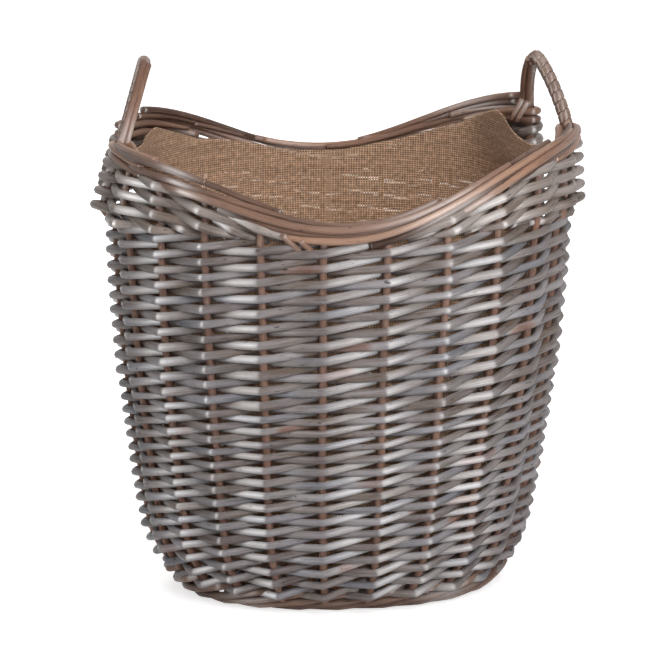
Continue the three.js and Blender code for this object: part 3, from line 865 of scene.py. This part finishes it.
# %% Bows and windings
for end in BOW_LEGS:
    line, along = bow_path(end)
    mesh = rods_to_mesh(f"bow_rod_{end}", [(line, np.full(len(line), BOW_RADIUS), 0.4, 0.0)])
    place_piece(mesh, stake_brown, [f"bow_{end}"])
    mesh, loops = winding(f"handle_winding_{end}", line, along, BOW_DEPTH_IN_WALL + WRAP_ABOVE_RIM,
                          along[-1] - BOW_DEPTH_IN_WALL - WRAP_ABOVE_RIM)
    place_piece(mesh, wrap_finish, [f"wrapping_{end}"])
    leader = rods_to_mesh(f"handle_leader_{end}", leader_rods(end, line, along))
    place_piece(leader, border_tan, [])
    print("handle", end, loops, "loops", len(mesh.polygons), "faces")

# %% [markdown]
# ## Hessian
# The lining is coarse hessian. Its threads cross at right angles with open squares between them, and
# no two threads are equally thick. The pattern lies on the cloth's own flat coordinates, in metres, so that
# it follows the cloth round the oval. Two rows of waves make the threads and leave open squares. Where the
# threads sink towards a square the colour is darkened as painted shade, and a noise stretched along the
# cloth makes some threads lighter than others.

# %% Hessian finish
THREAD_PITCH = 0.0023
OPEN_BELOW = 0.48


def hessian_finish():
    material, tree, shader = new_material("hessian")
    flat = add_node(tree, "ShaderNodeAttribute")
    flat.attribute_name = "cloth"
    drift = add_node(tree, "ShaderNodeTexNoise", {"Scale": 40.0, "Detail": 2.0},
                     {"Vector": flat.outputs["Vector"]})
    nudge = add_node(tree, "ShaderNodeVectorMath", {1: (0.0012, 0.0012, 0.0)},
                     {0: drift.outputs["Color"]})
    nudge.operation = "MULTIPLY"
    shifted = add_node(tree, "ShaderNodeVectorMath", wires={0: flat.outputs["Vector"], 1: nudge.outputs[0]})
    parts = add_node(tree, "ShaderNodeSeparateXYZ", wires={0: shifted.outputs[0]})

    def thread(coordinate):
        phase = calculate(tree, "MULTIPLY", coordinate, math.pi / THREAD_PITCH)
        return calculate(tree, "ABSOLUTE", calculate(tree, "SINE", phase))

    height = calculate(tree, "MAXIMUM", thread(parts.outputs["X"]), thread(parts.outputs["Y"]))
    slubs = add_node(tree, "ShaderNodeTexNoise", {"Scale": 240.0, "Detail": 3.0},
                     {"Vector": flat.outputs["Vector"]})
    shade = colour_ramp(tree, slubs.outputs["Fac"],
                        ((0.30, colour(180, 142, 113)), (0.70, colour(236, 197, 164))))
    along = add_node(tree, "ShaderNodeVectorMath", {1: (0.06, 2.0, 0.0)}, {0: flat.outputs["Vector"]})
    along.operation = "MULTIPLY"
    streak = add_node(tree, "ShaderNodeTexNoise", {"Scale": 220.0, "Detail": 1.0},
                      {"Vector": along.outputs[0]})
    # painted shade: the colour darkens where the threads sink between crossings, times the real lighter and
    # darker threads along the cloth
    painted_gap_shade_and_streaks = calculate(tree, "MULTIPLY", stretch(tree, height, 0.64, 0.90, 0.06, 1.04),
                     stretch(tree, streak.outputs["Fac"], 0.30, 0.72, 0.82, 1.16))
    tint = add_node(tree, "ShaderNodeVectorMath", wires={0: shade, 1: painted_gap_shade_and_streaks})
    tint.operation = "MULTIPLY"
    tree.links.new(tint.outputs[0], shader.inputs["Base Color"])
    shader.inputs["Roughness"].default_value = 0.95
    shader.inputs["Specular IOR Level"].default_value = 0.15
    tree.links.new(calculate(tree, "GREATER_THAN", height, OPEN_BELOW), shader.inputs["Alpha"])
    bump = add_node(tree, "ShaderNodeBump", {"Strength": 0.5, "Distance": 0.0006}, {"Height": height})
    tree.links.new(bump.outputs[0], shader.inputs["Normal"])
    return material


hessian = hessian_finish()
print("hessian with a thread every", THREAD_PITCH * 1000, "mm")

# %% [markdown]
# ## Lining
# The wall of the lining is a long strip of cloth sewn into a tube, with a hem folded over to the outside.
# So it starts as a flat grid of the strip's cut size, which is then wrapped round the inside of the weaving
# with a little slack. Between the legs of a handle the top edge is drawn straight across, and elsewhere it is
# lifted or lowered by listed amounts. The seam is closed by merging the two ends, and the area of the draped
# cloth is summed. A second, oval piece covers the base.

# %% Lining shape
LINING_GAP = 0.0135
LINING_FLOOR = 0.0255
LINING_DROP = 0.0045
BACK_STAKE = 12
# stakes from the middle of the back, and how far the top edge is lifted there
LINING_LIFTS = ((-8.0, 0.0), (-6.0, -0.0110), (-5.0, -0.0050), (-4.4, 0.0040), (-3.9, 0.0115),
                (-3.3, 0.0055), (-2.5, 0.0005), (-1.2, 0.0055), (0.0, 0.0075), (1.2, 0.0050),
                (2.5, -0.0045), (3.3, -0.0030), (4.0, 0.0070), (5.0, 0.0))
HEM = 0.011
LINING_DRAWN = {"right": 0.030, "left": 0.014}
DRAWN_REACH, DRAWN_FROM, DRAWN_TO = 2.7, 0.33, 0.44
LINING_WAVES, LINING_SLACK, HEM_OUT = 0.003, 0.0036, 0.0013
HEM_FROM, HEM_EDGE = 0.86, 0.93
GIRTH_STEPS, RISE_STEPS = 230, 60


def lining_top(angle):
    turn = Vector((math.cos(angle), math.sin(angle), 0.0))
    position = (angle - STAKE_TURN) / (2 * math.pi) * STAKE_COUNT % STAKE_COUNT
    lift = float(np.interp(position - BACK_STAKE, *zip(*LINING_LIFTS)))
    waves = LINING_WAVES * noise.noise(turn * 4)
    return float(rim_height(angle)) - LINING_DROP + waves + lift, position, turn


def lining_point(angle, share):
    top, position, turn = lining_top(angle)
    fold = np.interp(share, (0, HEM_FROM, HEM_EDGE, 1), (LINING_FLOOR, top - HEM, top, top - HEM))
    folded = HEM_OUT * float(smooth_step(share, HEM_EDGE - 0.008, HEM_EDGE + 0.012))
    z = float(fold)
    drawn = 0.0
    for end, gap in zip(BOW_LEGS, gap_stakes):
        near = max(0.0, 1 - (float(stakes_apart(position, gap)) / DRAWN_REACH) ** 2) ** 2
        drawn += LINING_DRAWN[end] * near * float(smooth_step(z, DRAWN_FROM, DRAWN_TO))
    slack = LINING_SLACK * noise.noise(turn * 5 + Vector((0, 0, z * 8)))
    return wall(angle, z, folded - LINING_GAP - drawn - slack), z


# %% Lining wall
ring = wall(np.linspace(0, 2 * math.pi, 400), 0.24, -LINING_GAP)
girth = float(np.linalg.norm(np.diff(ring, axis=0), axis=1).sum())
profile_z = np.linspace(LINING_FLOOR, 0.48, 200)
profile_length = np.r_[0, np.cumsum(np.hypot(np.diff(profile_z), np.diff(half_width(profile_z))))]
tops = [lining_top(angle)[0] for angle in np.linspace(0, 2 * math.pi, 400, endpoint=False)]

cloth = bmesh.new()
bmesh.ops.create_grid(cloth, x_segments=GIRTH_STEPS, y_segments=RISE_STEPS, size=0.5)
flat_layer = cloth.verts.layers.float_vector.new("cloth")
for vert in cloth.verts:
    around, share = vert.co.x + 0.5, vert.co.y + 0.5
    place, z = lining_point(around * 2 * math.pi + math.pi / 2, share)
    vert[flat_layer] = (around * girth, float(np.interp(z, profile_z, profile_length)), 0.0)
    vert.co = Vector(place)
bmesh.ops.remove_doubles(cloth, verts=cloth.verts, dist=1e-5)
bmesh.ops.recalc_face_normals(cloth, faces=cloth.faces)
draped_area = sum(face.calc_area() for face in cloth.faces)
for face in cloth.faces:
    face.smooth = True
mesh = bpy.data.meshes.new("lining_cloth")
cloth.to_mesh(mesh)
cloth.free()
lining = place_piece(mesh, hessian, ["lining_wall"])

# %% Lining base
BOTTOM_SEGMENTS, BOTTOM_RINGS, BOTTOM_RINGS_WIDTH, BOTTOM_WAVES = 92, 6, 0.9, 0.0015

bottom = bmesh.new()
bmesh.ops.create_circle(bottom, cap_ends=True, cap_tris=False, segments=BOTTOM_SEGMENTS, radius=1.0)
for _ in range(BOTTOM_RINGS):
    inner = [face for face in bottom.faces if len(face.verts) > 4]
    bmesh.ops.inset_region(bottom, faces=inner, thickness=BOTTOM_RINGS_WIDTH / BOTTOM_RINGS,
                           use_boundary=True, use_even_offset=True)
flat_layer = bottom.verts.layers.float_vector.new("cloth")
edge = half_width(LINING_FLOOR) - LINING_GAP
for vert in bottom.verts:
    x, y = vert.co.x * edge, vert.co.y * (edge - OVAL)
    vert[flat_layer] = (x, y, 0.0)
    vert.co = (x + LEAN_AT_FOOT, y, LINING_FLOOR + BOTTOM_WAVES * noise.noise(Vector((x * 20, y * 20, 0))))
for face in bottom.faces:
    face.smooth = True
mesh = bpy.data.meshes.new("lining_bottom")
bottom.to_mesh(mesh)
bottom.free()
lining_bottom = place_piece(mesh, hessian, ["lining_base"])
print("lining base", round(2 * edge, 3), "by", round(2 * (edge - OVAL), 3), "m")

# %% [markdown]
# ## The base
# The base is seen from below only. Its crossed sticks and the thin rod woven round them are shown as the
# solid model has them, with a finish that reads plain object coordinates, because these solids carry no
# straightened ones.

# %% Base finish
def base_finish(name, dark, light):
    material, tree, shader = new_material(name)
    place = add_node(tree, "ShaderNodeTexCoord")
    mottle = add_node(tree, "ShaderNodeTexNoise", {"Scale": 140.0, "Detail": 5.0},
                      {"Vector": place.outputs["Object"]})
    tones = colour_ramp(tree, mottle.outputs["Fac"], ((0.3, dark), (0.7, light)))
    tree.links.new(tones, shader.inputs["Base Color"])
    shader.inputs["Roughness"].default_value = 0.7
    bump = add_node(tree, "ShaderNodeBump", {"Strength": 0.3, "Distance": 0.0005},
                    {"Height": mottle.outputs["Fac"]})
    tree.links.new(bump.outputs[0], shader.inputs["Normal"])
    return material


BASE_COLOURS = {
    "base_slath": (colour(96, 72, 60), colour(146, 112, 92)),
    "base_weave": (colour(108, 96, 86), colour(178, 168, 160)),
}
for node, (dark, light) in BASE_COLOURS.items():
    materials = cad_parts[node].data.materials
    materials.clear()
    materials.append(base_finish(f"{node}_finish", dark, light))
print("base finishes for", ", ".join(BASE_COLOURS))
